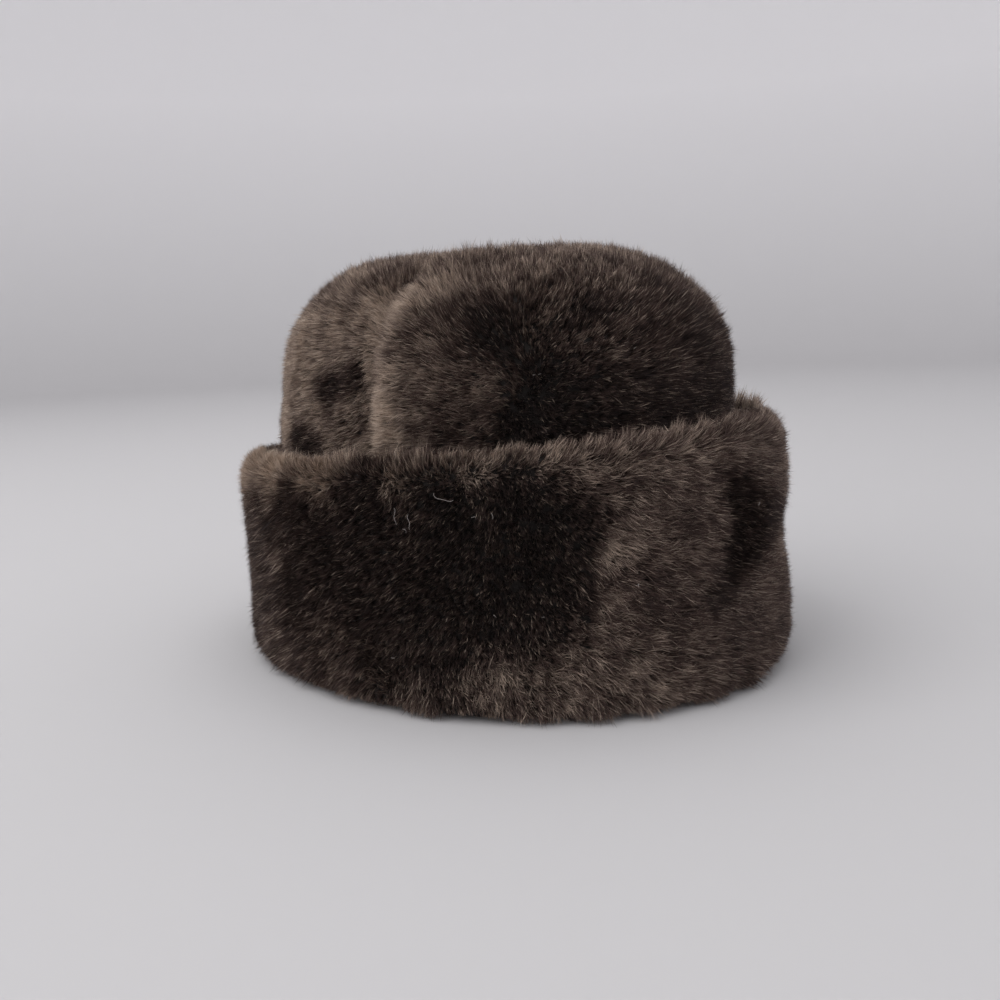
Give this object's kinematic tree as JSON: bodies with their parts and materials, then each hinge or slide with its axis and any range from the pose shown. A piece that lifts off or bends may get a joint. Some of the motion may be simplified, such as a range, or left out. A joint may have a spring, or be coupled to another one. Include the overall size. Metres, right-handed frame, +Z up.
{
  "type": "fur hat",
  "caption": "Round sheared sheepskin hat with a flat-topped two-panel crown and a tall fur cuff turned up all round.",
  "frame": {"origin": "middle of the head oval, in the plane of the rim that the hat rests on", "axes": "+Z up through the crown, -Y towards the front of the hat, -X towards the wearer's right"},
  "size_m": [0.2134, 0.2495, 0.1628],
  "materials": {
    "crown_fur": "sheared sheepskin pile, dark brown with lighter tips",
    "cuff_fur": "sheared sheepskin pile, dark brown with lighter tips"
  },
  "bodies": {
    "root": {"crown_front": "crown_fur", "crown_back": "crown_fur", "cuff": "cuff_fur"}
  },
  "joints": []
}
